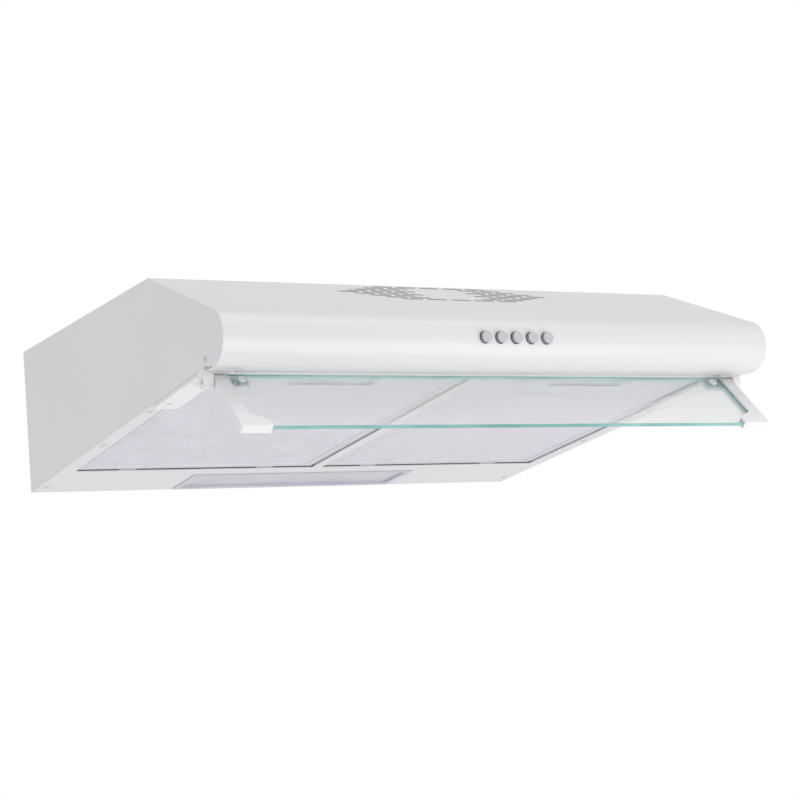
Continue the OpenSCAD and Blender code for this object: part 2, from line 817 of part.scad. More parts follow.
module switch_lead() color("white") lead(switch_route, 5);
module motor_lead() color("black") lead(motor_route, 5);
module lamp_lead() color("white") lead(lamp_route, 4);

// ---- drawing ----
place() top_panel();
place() back_panel();
place() side_panel(-1);  // left_side_panel
place() side_panel(1);  // right_side_panel
place() front_panel();
place() base_frame();
place() base_screws();
place() panel_screws();
place() visor_bracket(-1);  // left_visor_bracket
place() visor_bracket(1);  // right_visor_bracket
place() bracket_screws();
place() visor_pin(-1);  // left_visor_pin
place() visor_pin(1);  // right_visor_pin
place() visor_glass();
place() visor_arm(-1);  // left_visor_arm
place() visor_arm(1);  // right_visor_arm
place() visor_glass_clips();
place() filter_frame(-1);  // left_filter_frame
place() filter_mesh(-1);  // left_filter_mesh
place() filter_latch(-1);  // left_filter_latch
place() filter_frame(1);  // right_filter_frame
place() filter_mesh(1);  // right_filter_mesh
place() filter_latch(1);  // right_filter_latch
for (i = [0:4]) place() button(i);
place() switch_block();
place() switch_bracket();
place() switch_screws();
place() outlet_duct();
place() outlet_spigot();
place() draft_flap(-1);  // front_draft_flap
place() draft_flap(1);  // rear_draft_flap
place() flap_pin();
place() air_shutter();
place() fan_housing_lower();
place() fan_housing_upper();
place() fan_wheel();
place() motor_shaft();
place() motor();
place() motor_screws();
place() fan_posts();
place() inlet_guard();
place() charcoal_filter();
place() lamp_tray();
place() lamp_lens();
place() lamp_holder(-1);  // left_lamp_holder
place() lamp_holder(1);  // right_lamp_holder
place() bulb(-1);  // left_bulb
place() bulb(1);  // right_bulb
place() cable_gland();
place() terminal_box();
place() terminal_cover();
place() capacitor();
place() capacitor_clip();
place() switch_lead();
place() motor_lead();
place() lamp_lead();
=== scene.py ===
"""Looks of an under cabinet range hood: casing, visor, grease filters, lamp, fan and studio."""

import json
import logging
import math
from dataclasses import dataclass, field
from enum import Enum

import bmesh
import bpy
import numpy as np
from mathutils import Matrix, Vector


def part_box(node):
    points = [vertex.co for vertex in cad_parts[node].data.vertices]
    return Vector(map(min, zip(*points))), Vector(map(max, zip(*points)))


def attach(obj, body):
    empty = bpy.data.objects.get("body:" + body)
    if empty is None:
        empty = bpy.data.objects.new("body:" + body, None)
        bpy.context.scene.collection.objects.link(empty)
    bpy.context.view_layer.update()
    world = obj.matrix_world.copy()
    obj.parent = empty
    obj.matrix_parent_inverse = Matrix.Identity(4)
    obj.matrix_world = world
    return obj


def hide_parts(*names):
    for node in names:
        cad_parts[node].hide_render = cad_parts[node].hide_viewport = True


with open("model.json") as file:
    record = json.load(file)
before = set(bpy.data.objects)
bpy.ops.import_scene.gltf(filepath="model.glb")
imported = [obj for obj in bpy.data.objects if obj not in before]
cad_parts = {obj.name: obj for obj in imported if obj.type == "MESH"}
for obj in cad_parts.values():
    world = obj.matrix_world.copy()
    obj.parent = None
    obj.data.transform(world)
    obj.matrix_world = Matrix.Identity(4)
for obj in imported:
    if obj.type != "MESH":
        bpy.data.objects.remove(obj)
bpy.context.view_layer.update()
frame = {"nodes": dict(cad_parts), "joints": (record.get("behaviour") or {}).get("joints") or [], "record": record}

log = logging.getLogger("range_hood")
MM = 0.001

WELD = 2e-6                       # corners of a CAD node closer than this become one
SEAM = 1e-7                       # the same, in a new mesh
FLAT_ANGLE = math.radians(0.4)    # faces that meet at less than this become one
CRISP_ANGLE = math.radians(32)    # edges sharper than this are not shaded smooth
EDGE_ANGLE = math.radians(40)     # edges sharper than this are rounded
EDGE_SEGMENTS = 2

Colour = tuple[float, float, float]
Point = tuple[float, float, float]
Faces = list[list[int]]
Solid = tuple[np.ndarray, Faces]

WHITE: Colour = (1.0, 1.0, 1.0)


# ---------------------------------------------------------------- shader building


class Value:
    """A number in a shader: wraps an output socket, so that arithmetic on it adds Math nodes."""

    def __init__(self, nodes: "Nodes", socket: bpy.types.NodeSocket) -> None:
        """Keeps the node tree that the socket belongs to, and the socket."""
        self.nodes = nodes
        self.socket = socket

    def __add__(self, other: "Value | float") -> "Value":
        """Sum."""
        return self.nodes.math("ADD", self, other)

    def __radd__(self, other: float) -> "Value":
        """Sum, with the number on the left."""
        return self.nodes.math("ADD", other, self)

    def __mul__(self, other: "Value | float") -> "Value":
        """Product."""
        return self.nodes.math("MULTIPLY", self, other)

    def __rmul__(self, other: float) -> "Value":
        """Product, with the number on the left."""
        return self.nodes.math("MULTIPLY", other, self)

    def above(self, limit: float) -> "Value":
        """One where the number is over the limit, and zero elsewhere."""
        return self.nodes.math("GREATER_THAN", self, limit)


class Nodes:
    """A node tree, and the one method through which every node is added to it."""

    def __init__(self, tree: bpy.types.NodeTree) -> None:
        """Takes a tree and empties it."""
        self.tree = tree
        self.tree.nodes.clear()

    def feed(self, socket: bpy.types.NodeSocket, value: object) -> None:
        """Links an input socket, or sets its constant.

        Args:
            socket: The input socket.
            value: A Value, an output socket, a number or a tuple.
        """
        if isinstance(value, Value):
            value = value.socket
        if isinstance(value, bpy.types.NodeSocket):
            self.tree.links.new(value, socket)
        elif isinstance(value, tuple) and socket.type == "RGBA":
            socket.default_value = (*value, 1.0)
        else:
            socket.default_value = value

    def node(self, kind: str, settings: dict, inputs: dict) -> bpy.types.Node:
        """Adds a node.

        Args:
            kind: The node's type.
            settings: Attributes of the node, set before its sockets.
            inputs: What feeds each input, by the input's name or number.

        Returns:
            The new node.
        """
        made = self.tree.nodes.new(kind)
        for key, value in settings.items():
            setattr(made, key, value)
        for key, value in inputs.items():
            self.feed(made.inputs[key], value)
        return made

    def math(self, operation: str, a: "Value | float", b: "Value | float") -> Value:
        """Adds a Math node and returns its result."""
        return Value(self, self.node("ShaderNodeMath", {"operation": operation}, {0: a, 1: b}).outputs[0])


class Shader(Nodes):
    """One material's node tree, with the few patterns that the finishes need."""

    def __init__(self, name: str) -> None:
        """Makes an empty material with a Principled shader on its output.

        Args:
            name: The material's name.
        """
        self.material = bpy.data.materials.new(name)
        self.material.use_nodes = True
        super().__init__(self.material.node_tree)
        self.principled = self.node("ShaderNodeBsdfPrincipled", {}, {})
        self.node("ShaderNodeOutputMaterial", {}, {"Surface": self.principled.outputs[0]})

    def place(self, stretch: Point = (1.0, 1.0, 1.0)) -> bpy.types.NodeSocket:
        """Object coordinates, stretched by a factor along each axis."""
        coordinates = self.node("ShaderNodeTexCoord", {}, {}).outputs["Object"]
        return self.node("ShaderNodeMapping", {}, {"Vector": coordinates, "Scale": stretch}).outputs[0]

    def noise(self, scale: float, detail: float, stretch: Point = (1.0, 1.0, 1.0)) -> Value:
        """Noise over the object.

        Args:
            scale: Cells per metre.
            detail: Octaves.
            stretch: Factor for each axis, for grain that runs one way.

        Returns:
            A number from 0 to 1.
        """
        inputs = {"Vector": self.place(stretch), "Scale": scale, "Detail": detail, "Roughness": 0.55}
        return Value(self, self.node("ShaderNodeTexNoise", {}, inputs).outputs[0])

    def cells(self, scale: float) -> Value:
        """Distance to the nearest of scattered points, for grain and pores."""
        inputs = {"Vector": self.place(), "Scale": scale}
        return Value(self, self.node("ShaderNodeTexVoronoi", {}, inputs).outputs["Distance"])

    def between(self, amount: Value, low: float, high: float, start: float, end: float) -> Value:
        """Carries a number from one range to another, held at both ends.

        Args:
            amount: The number.
            low: Where the range begins.
            high: Where the range ends.
            start: Result at low.
            end: Result at high.

        Returns:
            The new number.
        """
        inputs = {"Value": amount, "From Min": low, "From Max": high, "To Min": start, "To Max": end}
        return Value(self, self.node("ShaderNodeMapRange", {"clamp": True}, inputs).outputs[0])

    def blend(self, factor: Value, a: Colour, b: Colour) -> bpy.types.NodeSocket:
        """Mixes two colours: a factor of 0 gives the first, and 1 the second."""
        # A Mix node's colour inputs are its seventh and eighth, and its colour output is its third.
        return self.node("ShaderNodeMix", {"data_type": "RGBA"}, {0: factor, 6: a, 7: b}).outputs[2]

    def bump(self, height: Value, depth: float) -> None:
        """Raises the surface by a height from 0 to 1, where 1 stands for the depth in metres."""
        made = self.node("ShaderNodeBump", {}, {"Strength": 1.0, "Distance": depth, "Height": height})
        self.feed(self.principled.inputs["Normal"], made.outputs[0])

    def surface(self, **values: object) -> bpy.types.Material:
        """Feeds the shader's own sockets.

        Args:
            values: What feeds each socket, by its name in lower case with underscores.

        Returns:
            The finished material.
        """
        for key, value in values.items():
            label = key.replace("_", " ").title().replace("Ior", "IOR")
            self.feed(self.principled.inputs[label], value)
        return self.material


# ---------------------------------------------------------------- finishes


class Grain(Enum):
    """How a moulded surface feels: cells per metre of its grain, and its depth in metres."""

    SATIN = (2600.0, 0.00003)
    FINE = (1800.0, 0.00006)
    COARSE = (1100.0, 0.00012)


class Side(Enum):
    """The hood's left and right, as seen from the front, and the start of their nodes' names."""

    LEFT = "left"
    RIGHT = "right"


class PerFace(Enum):
    """What a mesh says about each of its faces, under the name it has there."""

    NORMAL = "normal"
    CENTRE = "center"


def darker(colour: Colour, share: float) -> Colour:
    """A colour with every channel brought down to a share of itself."""
    return tuple(channel * share for channel in colour)


@dataclass(frozen=True)
class PowderPaint:
    """Baked white paint on steel: a faint orange peel, and slow changes of tone and gloss."""

    name: str = "white_paint"
    colour: Colour = (0.765, 0.755, 0.765)
    shade: Colour = (0.735, 0.726, 0.738)
    gloss: float = 0.34
    peel: float = 420.0
    dust_limit: float = 0.74
    depth: float = 0.00005
    coat: float = 0.15

    def build(self) -> bpy.types.Material:
        """Makes the material.

        Returns:
            The material.
        """
        s = Shader(self.name)
        peel = s.noise(self.peel, 3.0)
        cloud = s.noise(5.0, 3.0)
        dust = s.noise(1600.0, 1.0).above(self.dust_limit)
        s.bump(peel + 0.25 * s.noise(1500.0, 2.0), self.depth)
        tone = s.between(cloud, 0.35, 0.7, 0.0, 0.5) + 0.35 * dust
        rough = s.between(cloud, 0.3, 0.7, self.gloss - 0.04, self.gloss + 0.05) + 0.1 * dust
        return s.surface(base_color=s.blend(tone, self.colour, self.shade), roughness=rough,
                         coat_weight=self.coat, coat_roughness=0.12)


@dataclass(frozen=True)
class Moulding:
    """Moulded plastic with an etched grain and a slightly uneven tone."""

    name: str
    colour: Colour
    gloss: float = 0.42
    grain: Grain = Grain.SATIN
    shade: float = 0.9

    def build(self) -> bpy.types.Material:
        """Makes the material.

        Returns:
            The material.
        """
        s = Shader(self.name)
        scale, depth = self.grain.value
        s.bump(s.cells(scale) + 0.4 * s.noise(scale / 3, 2.0), depth)
        cloud = s.noise(14.0, 4.0)
        tone = s.between(cloud, 0.35, 0.75, 0.0, 0.8)
        rough = s.between(cloud, 0.3, 0.7, self.gloss - 0.05, self.gloss + 0.08)
        return s.surface(base_color=s.blend(tone, self.colour, darker(self.colour, self.shade)),
                         roughness=rough)


@dataclass(frozen=True)
class Metal:
    """Bare metal with rolling or turning marks that run one way."""

    name: str
    colour: Colour
    gloss: float = 0.3
    run: Point = (1.0, 30.0, 30.0)
    marks: float = 160.0
    depth: float = 0.00002
    shade: float = 0.86

    def build(self) -> bpy.types.Material:
        """Makes the material.

        Returns:
            The material.
        """
        s = Shader(self.name)
        line = s.noise(self.marks, 4.0, self.run)
        cloud = s.noise(30.0, 3.0)
        s.bump(line, self.depth)
        tone = s.between(line + cloud, 0.7, 1.3, 0.0, 1.0)
        rough = s.between(line, 0.3, 0.7, self.gloss - 0.06, self.gloss + 0.1)
        return s.surface(base_color=s.blend(tone, self.colour, darker(self.colour, self.shade)),
                         roughness=rough, metallic=1.0)


@dataclass(frozen=True)
class Galvanised:
    """Zinc coated sheet with its pattern of crystals."""

    name: str = "zinc_sheet"
    colour: Colour = (0.62, 0.63, 0.65)
    shade: float = 0.8
    spangle: float = 110.0
    depth: float = 0.00003

    def build(self) -> bpy.types.Material:
        """Makes the material.

        Returns:
            The material.
        """
        s = Shader(self.name)
        spangle = s.cells(self.spangle) + 0.3 * s.noise(160.0, 4.0)
        s.bump(spangle, self.depth)
        tone = s.between(spangle, 0.2, 0.9, 0.0, 1.0)
        return s.surface(base_color=s.blend(tone, self.colour, darker(self.colour, self.shade)),
                         roughness=s.between(spangle, 0.2, 0.9, 0.32, 0.5), metallic=0.9)


@dataclass(frozen=True)
class GlassBody:
    """The clear faces of the visor: almost colourless, with a trace of green and a thin uneven film.

    The cover is below one, so that lamp light reaches what stands behind the pane.
    """

    name: str = "visor_glass_face"
    tint: Colour = (0.93, 0.985, 0.97)
    index: float = 1.5
    cover: float = 0.4

    def build(self) -> bpy.types.Material:
        """Makes the material.

        Returns:
            The material.
        """
        s = Shader(self.name)
        film = s.noise(9.0, 4.0)
        return s.surface(base_color=self.tint, roughness=s.between(film, 0.4, 0.8, 0.0, 0.03),
                         transmission_weight=1.0, ior=self.index, alpha=self.cover)


@dataclass(frozen=True)
class GlassEdge:
    """The ground edge of float glass, where the light that has crossed the pane comes out green."""

    name: str = "visor_glass_edge"
    colour: Colour = (0.13, 0.36, 0.34)
    bright: Colour = (0.30, 0.54, 0.53)
    depth: float = 0.00003
    coat: float = 0.6

    def build(self) -> bpy.types.Material:
        """Makes the material.

        Returns:
            The material.
        """
        s = Shader(self.name)
        streak = s.noise(14.0, 3.0, (1.0, 6.0, 6.0))
        s.bump(s.noise(900.0, 2.0), self.depth)
        tone = s.between(streak, 0.35, 0.65, 0.0, 1.0)
        return s.surface(base_color=s.blend(tone, self.colour, self.bright),
                         roughness=s.between(streak, 0.3, 0.7, 0.12, 0.28),
                         coat_weight=self.coat, coat_roughness=0.05)


@dataclass(frozen=True)
class FrostedLens:
    """Translucent lamp cover: milky plastic, slightly lilac, with a fine etched face."""

    name: str = "lens_plastic"
    colour: Colour = (0.66, 0.65, 0.71)
    shade: float = 0.92
    clear: float = 0.12
    index: float = 1.49
    depth: float = 0.00004

    def build(self) -> bpy.types.Material:
        """Makes the material.

        Returns:
            The material.
        """
        s = Shader(self.name)
        cloud = s.noise(22.0, 3.0)
        s.bump(s.cells(1400.0), self.depth)
        tone = s.between(cloud, 0.35, 0.7, 0.0, 1.0)
        return s.surface(base_color=s.blend(tone, self.colour, darker(self.colour, self.shade)),
                         roughness=s.between(cloud, 0.3, 0.7, 0.36, 0.46),
                         transmission_weight=self.clear, ior=self.index)


@dataclass(frozen=True)
class OpalGlass:
    """White opal glass of the candle lamps."""

    name: str = "bulb_glass"
    colour: Colour = (0.86, 0.85, 0.82)
    shade: Colour = (0.8, 0.8, 0.78)
    coat: float = 0.3

    def build(self) -> bpy.types.Material:
        """Makes the material.

        Returns:
            The material.
        """
        s = Shader(self.name)
        cloud = s.noise(60.0, 2.0)
        return s.surface(base_color=s.blend(cloud, self.colour, self.shade),
                         roughness=s.between(cloud, 0.3, 0.7, 0.08, 0.16), coat_weight=self.coat)


Finish = PowderPaint | Moulding | Metal | Galvanised | GlassBody | GlassEdge | FrostedLens | OpalGlass


@dataclass
class Palette:
    """The materials of the finishes in use, each made once."""

    made: dict[str, bpy.types.Material] = field(default_factory=dict)

    def get(self, finish: Finish) -> bpy.types.Material:
        """Builds a finish the first time, and gives it again after that.

        Args:
            finish: The finish.

        Returns:
            Its material.
        """
        if finish.name not in self.made:
            self.made[finish.name] = finish.build()
        return self.made[finish.name]


PAINT = PowderPaint()
# The same white paint made darker for the base frame: painted shade of the underside.
SHADED_BASE_PAINT = PowderPaint("base_paint_shaded", (0.712, 0.702, 0.72), (0.685, 0.675, 0.69))
WHITE_PLASTIC = Moulding("white_plastic", (0.85, 0.85, 0.86), 0.4)
DARK_PLASTIC = Moulding("dark_plastic", (0.035, 0.035, 0.04), 0.5, Grain.FINE)
FAN_PLASTIC = Moulding("fan_plastic", (0.33, 0.34, 0.36), 0.48, Grain.FINE)
CARBON = Moulding("carbon", (0.02, 0.02, 0.02), 0.6, Grain.COARSE)
RUBBER = Moulding("black_rubber", (0.02, 0.02, 0.022), 0.62, Grain.FINE)
WHITE_LEAD = Moulding("white_lead", (0.75, 0.75, 0.73), 0.5, Grain.FINE)
CASE_PLASTIC = Moulding("capacitor_case", (0.72, 0.72, 0.70), 0.3)
BUTTON_SILVER = Moulding("button_plastic", (0.56, 0.56, 0.58), 0.26)
# Darker metal for the buttons' side walls: painted shade on the walls.
BUTTON_WALL_SHADE = Metal("button_wall_shade", (0.34, 0.34, 0.36), 0.22, (20.0, 1.0, 20.0), 90.0)
FASTENER = Metal("steel_fastener", (0.70, 0.71, 0.73), 0.24, (20.0, 20.0, 20.0), 60.0)
FILTER_METAL = Metal("filter_metal", (0.78, 0.78, 0.82), 0.42)
# Darker metal for the filter frames' outer walls: painted shade of the gap they stand in.
FILTER_GAP_SHADE = Metal("filter_gap_shade", (0.30, 0.30, 0.32), 0.5)
FILTER_WEAVE = Metal("filter_mesh", (0.92, 0.91, 0.95), 0.42, (4.0, 4.0, 4.0), 300.0, 0.00004, 0.95)
MOTOR_METAL = Metal("motor_metal", (0.55, 0.56, 0.58), 0.42, (6.0, 6.0, 6.0), 120.0, 0.00005)
ZINC = Galvanised()
GLASS_FACE = GlassBody()
GLASS_EDGE = GlassEdge()
LENS = FrostedLens()
OPAL = OpalGlass()

palette = Palette()


# ---------------------------------------------------------------- meshes


def smooth_by_angle(mesh: bpy.types.Mesh) -> None:
    """Shades a mesh smooth, with its sharp edges left crisp."""
    mesh.shade_smooth()
    mesh.set_sharp_from_angle(angle=CRISP_ANGLE)


def tube_faces(rows: int, columns: int) -> Faces:
    """Quads round a tube: a grid of points, numbered row by row, whose last column meets its first.

    Args:
        rows: Points along the tube.
        columns: Points round it.

    Returns:
        Four point numbers for each face.
    """
    r, c = (a.ravel() for a in np.meshgrid(np.arange(rows - 1), np.arange(columns), indexing="ij"))
    next_c = (c + 1) % columns
    corners = [r * columns + c, r * columns + next_c, (r + 1) * columns + next_c, (r + 1) * columns + c]
    return np.stack(corners, axis=1).tolist()


def new_object(name: str, mesh: bpy.types.Mesh) -> bpy.types.Object:
    """Puts a mesh into the scene as an object at the origin.

    Args:
        name: The object's name.
        mesh: Its mesh.

    Returns:
        The object.
    """
    made = bpy.data.objects.new(name, mesh)
    bpy.context.scene.collection.objects.link(made)
    return made


def add_mesh(name: str, points: np.ndarray, faces: Faces) -> bpy.types.Object:
    """Makes an object from points and faces, with its faces turned outwards.

    Args:
        name: The object's name.
        points: One row of X, Y, Z for each point, in metres.
        faces: Point numbers of each face.

    Returns:
        The object, at the origin.
    """
    mesh = bpy.data.meshes.new(name)
    mesh.from_pydata(points.tolist(), [], faces)
    work = bmesh.new()
    work.from_mesh(mesh)
    bmesh.ops.remove_doubles(work, verts=work.verts, dist=SEAM)
    bmesh.ops.recalc_face_normals(work, faces=work.faces)
    work.to_mesh(mesh)
    work.free()
    smooth_by_angle(mesh)
    return new_object(name, mesh)


def prism(outline: np.ndarray, low: float, high: float, axis: int) -> Solid:
    """A closed outline carried straight along an axis, with both ends closed.

    Args:
        outline: Two coordinates for each corner, in the order of the other two axes.
        low: Where it starts along the axis.
        high: Where it ends.
        axis: 0, 1 or 2.

    Returns:
        Points and faces.
    """
    n = len(outline)
    others = [a for a in range(3) if a != axis]
    points = np.zeros((2 * n, 3))
    points[:, others] = np.tile(outline, (2, 1))
    points[:n, axis], points[n:, axis] = low, high
    return points, [*tube_faces(2, n), list(range(n)), list(range(n, 2 * n))]


def turned(profile: np.ndarray, steps: int) -> Solid:
    """A profile turned about Z, closed at poles where its radius is zero.

    Args:
        profile: A radius and a height for each of its points.
        steps: Points round the axis.

    Returns:
        Points and faces.
    """
    angle = np.linspace(0, 2 * math.pi, steps, endpoint=False)
    radius, height = profile[:, :1], profile[:, 1:]
    height = np.broadcast_to(height, (len(profile), steps))
    points = np.stack([radius * np.cos(angle), radius * np.sin(angle), height], axis=2)
    return points.reshape(-1, 3), tube_faces(len(profile), steps)


def stack_parts(parts: list[Solid]) -> Solid:
    """Joins several parts into one, with the point numbers of their faces moved on.

    Args:
        parts: Points and faces of each part.

    Returns:
        Points and faces of all of them.
    """
    points, faces, start = [], [], 0
    for part, rows in parts:
        points.append(part)
        faces.extend([[i + start for i in row] for row in rows])
        start += len(part)
    return np.concatenate(points), faces


def finished_mesh(made: bpy.types.Object) -> None:
    """Applies every modifier of an object to its mesh.

    Args:
        made: The object.
    """
    shown = made.evaluated_get(bpy.context.evaluated_depsgraph_get())
    mesh = bpy.data.meshes.new_from_object(shown)
    made.modifiers.clear()
    made.data = mesh


def face_vectors(mesh: bpy.types.Mesh, kind: PerFace) -> np.ndarray:
    """The normal or the centre of every face.

    Args:
        mesh: The mesh.
        kind: Which of the two.

    Returns:
        One row of X, Y, Z for each face.
    """
    values = np.zeros(3 * len(mesh.polygons))
    mesh.polygons.foreach_get(kind.value, values)
    return values.reshape(-1, 3)


# ---------------------------------------------------------------- pieces


def dress(made: bpy.types.Object, finish: Finish, body: str) -> bpy.types.Object:
    """Gives an object its finish and its body.

    Args:
        made: The object.
        finish: One of the finishes.
        body: The CAD body that it rides on.

    Returns:
        The object.
    """
    made.data.materials.clear()
    made.data.materials.append(palette.get(finish))
    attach(made, body)
    log.info("%s: %d faces on %s", made.name, len(made.data.polygons), body)
    return made


def second_finish(made: bpy.types.Object, finish: Finish, chosen: np.ndarray) -> None:
    """Gives some faces of a dressed object another finish.

    Args:
        made: The object.
        finish: The other finish.
        chosen: True for each face that takes it.
    """
    made.data.materials.append(palette.get(finish))
    made.data.polygons.foreach_set("material_index", chosen.astype(int))


def body_of_node(node: str) -> str:
    """Name of the CAD body that a node belongs to."""
    bodies = frame["record"]["behaviour"]["bodies"]
    return next(b for b, nodes in bodies.items() if node in nodes)


def edged(node: str, finish: Finish, edge: float = 0.0) -> bpy.types.Object:
    """Stands a copy of a CAD node in its place, merged and with its edges rounded.

    Args:
        node: The CAD node.
        finish: Its finish.
        edge: Width of the rounding, in metres, or 0 to leave the edges crisp.

    Returns:
        The new piece.
    """
    work = bmesh.new()
    work.from_mesh(frame["nodes"][node].data)
    bmesh.ops.remove_doubles(work, verts=work.verts, dist=WELD)
    bmesh.ops.dissolve_limit(work, angle_limit=FLAT_ANGLE, verts=work.verts, edges=work.edges)
    mesh = bpy.data.meshes.new(f"{node}_skin")
    work.to_mesh(mesh)
    work.free()
    smooth_by_angle(mesh)
    made = new_object(f"{node}_skin", mesh)
    if edge:
        bevel = made.modifiers.new("edge", "BEVEL")
        bevel.width, bevel.segments, bevel.limit_method = edge, EDGE_SEGMENTS, "ANGLE"
        bevel.angle_limit = EDGE_ANGLE
        bevel.harden_normals = True
    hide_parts(node)
    return dress(made, finish, body_of_node(node))


def repaint(node: str, finish: Finish) -> None:
    """Gives a CAD node that keeps its own mesh its finish.

    Args:
        node: The CAD node.
        finish: Its finish.
    """
    made = frame["nodes"][node]
    for place in made.material_slots:
        place.material = palette.get(finish)
    log.info("%s: %s", node, finish.name)


# ---------------------------------------------------------------- casing


@dataclass
class Casing:
    """The painted shell: a bent front panel with slots, plain sheets behind it and the base."""

    sheet: float = 1.0 * MM
    nose_radius: float = 26.0 * MM
    lip_notch: float = -287.5 * MM
    lip_rear: float = -280.0 * MM
    notch_half: float = 268.0 * MM
    slot_length: float = 23.0 * MM
    slot_width: float = 5.6 * MM
    slot_pitch: float = 27.0 * MM
    row_pitch: float = 8.0 * MM
    ring_middle: float = 40.0 * MM
    ring_out: tuple[float, float] = (110.0 * MM, 37.0 * MM)
    ring_in: tuple[float, float] = (34.0 * MM, 27.0 * MM)
    half_rows: int = 4
    half_columns: int = 4
    lip_rise: float = 3.2 * MM
    button_gap: float = 0.5 * MM
    slot_cut: float = 4.0 * MM
    hole_cut: tuple[float, float] = (-5.0 * MM, 15.0 * MM)
    panel_edge: float = 0.3 * MM
    base_edge: float = 0.25 * MM
    screw_edge: float = 0.15 * MM
    arc_steps: int = 56
    slot_steps: int = 9
    hole_steps: int = 40

    def __post_init__(self) -> None:
        """Reads the panel's corners from the frame."""
        low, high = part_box("front_panel")
        self.half_width = high.x
        self.top_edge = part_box("top_panel")[0].y - self.sheet
        self.nose = np.array([low.y + self.nose_radius, low.z + self.nose_radius])
        run, drop = self.top_edge - self.nose[0], -self.nose[1]
        self.slope = math.atan(drop / run) - math.asin(self.nose_radius / math.hypot(run, drop))

    def outer_line(self, inset: float, rear: float) -> np.ndarray:
        """The panel's line in (y, z): the slope, the nose as an arc and the lip under it.

        Args:
            inset: Distance inside the outer face.
            rear: Where the lip ends.

        Returns:
            One row for each point.
        """
        radius = self.nose_radius - inset
        start, end = math.pi / 2 + self.slope, 1.5 * math.pi
        angle = np.linspace(start, end, self.arc_steps)
        arc = self.nose + radius * np.stack([np.cos(angle), np.sin(angle)], axis=1)
        normal = np.array([-math.sin(self.slope), math.cos(self.slope)])
        top = np.array([self.top_edge, 0.0]) - inset * normal
        return np.vstack([top, arc, [rear, self.nose[1] - radius]])

    def bent_sheet(self) -> Solid:
        """The panel without holes: the outer line and the inner line a sheet's thickness apart.

        Returns:
            Points and faces.
        """
        outer = self.outer_line(0.0, self.lip_notch)
        inner = self.outer_line(self.sheet, self.lip_notch)
        return prism(np.vstack([outer, inner[::-1]]), -self.half_width, self.half_width, 0)

    def lip(self) -> Solid:
        """The middle of the lip, which runs further back and turns up to meet the base.

        Returns:
            Points and faces.
        """
        low, thick = self.nose[1] - self.nose_radius, self.sheet
        rear, front = self.lip_rear, self.lip_notch - thick
        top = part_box("front_panel")[0].z + self.lip_rise
        line = [[front, low], [rear, low], [rear, top], [rear - thick, top], [rear - thick, low + thick],
                [front, low + thick]]
        return prism(np.array(line), -self.notch_half, self.notch_half, 0)

    def slots(self) -> Solid:
        """Round-ended cutters in staggered rows: those whose middles lie between two ovals.

        Returns:
            Points and faces.
        """
        rows, columns = (np.arange(-half, half + 1) for half in (self.half_rows, self.half_columns))
        row, place = np.meshgrid(rows, columns, indexing="ij")
        x = (place + 0.5 * (row % 2)) * self.slot_pitch
        s = row * self.row_pitch
        in_outer = (x / self.ring_out[0]) ** 2 + (s / self.ring_out[1]) ** 2 < 1
        in_inner = (x / self.ring_in[0]) ** 2 + (s / self.ring_in[1]) ** 2 < 1
        kept = in_outer & ~in_inner
        r, straight = self.slot_width / 2, (self.slot_length - self.slot_width) / 2
        angle = np.linspace(-math.pi / 2, math.pi / 2, self.slot_steps)
        end = np.stack([straight + r * np.cos(angle), r * np.sin(angle)], axis=1)
        outline = np.vstack([end, -end])
        cutter, faces = prism(outline, -self.slot_cut, self.slot_cut, 2)
        c, d = math.cos(self.slope), math.sin(self.slope)
        turn = np.array([[1, 0, 0], [0, c, -d], [0, d, c]])
        parts = []
        for across, down in zip(x[kept], s[kept]):
            moved = cutter + [across, down - self.ring_middle, 0.0]
            parts.append((moved @ turn.T + [0.0, self.top_edge, 0.0], faces))
        return stack_parts(parts)

    def holes(self) -> Solid:
        """Round cutters for the buttons, a gap wider than each button.

        Returns:
            Points and faces.
        """
        parts = []
        for name in BUTTONS:
            low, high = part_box(name)
            radius = (high.x - low.x) / 2 + self.button_gap
            angle = np.linspace(0, 2 * math.pi, self.hole_steps, endpoint=False)
            centre = np.array([(low.x + high.x) / 2, (low.z + high.z) / 2])
            outline = centre + radius * np.stack([np.cos(angle), np.sin(angle)], axis=1)
            parts.append(prism(outline, low.y + self.hole_cut[0], low.y + self.hole_cut[1], 1))
        return stack_parts(parts)

    def front(self) -> None:
        """Cuts the slots and holes from the bent sheet, and adds the lip."""
        panel = add_mesh("front_panel_skin", *self.bent_sheet())
        for name, solid in (("slots", self.slots()), ("holes", self.holes())):
            cutter = add_mesh(name, *solid)
            cut = panel.modifiers.new(name, "BOOLEAN")
            cut.object, cut.operation, cut.solver = cutter, "DIFFERENCE", "EXACT"
            finished_mesh(panel)
            bpy.data.objects.remove(cutter)
        smooth_by_angle(panel.data)
        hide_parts("front_panel")
        dress(panel, PAINT, "casing")
        dress(add_mesh("front_lip", *self.lip()), PAINT, "casing")

    def build(self) -> None:
        """Makes the whole shell."""
        self.front()
        for node in ("left_side_panel", "right_side_panel", "top_panel", "back_panel"):
            edged(node, PAINT, self.panel_edge)
        # The base frame takes the darker copy of the paint: painted shade of the underside.
        edged("base_frame", SHADED_BASE_PAINT, self.base_edge)
        edged("base_screws", PAINT, self.screw_edge)
        edged("bracket_screws", PAINT, self.screw_edge)
        edged("panel_screws", FASTENER, self.screw_edge)


# ---------------------------------------------------------------- controls

BUTTONS = ("button_off", "button_low", "button_medium", "button_high", "button_light")


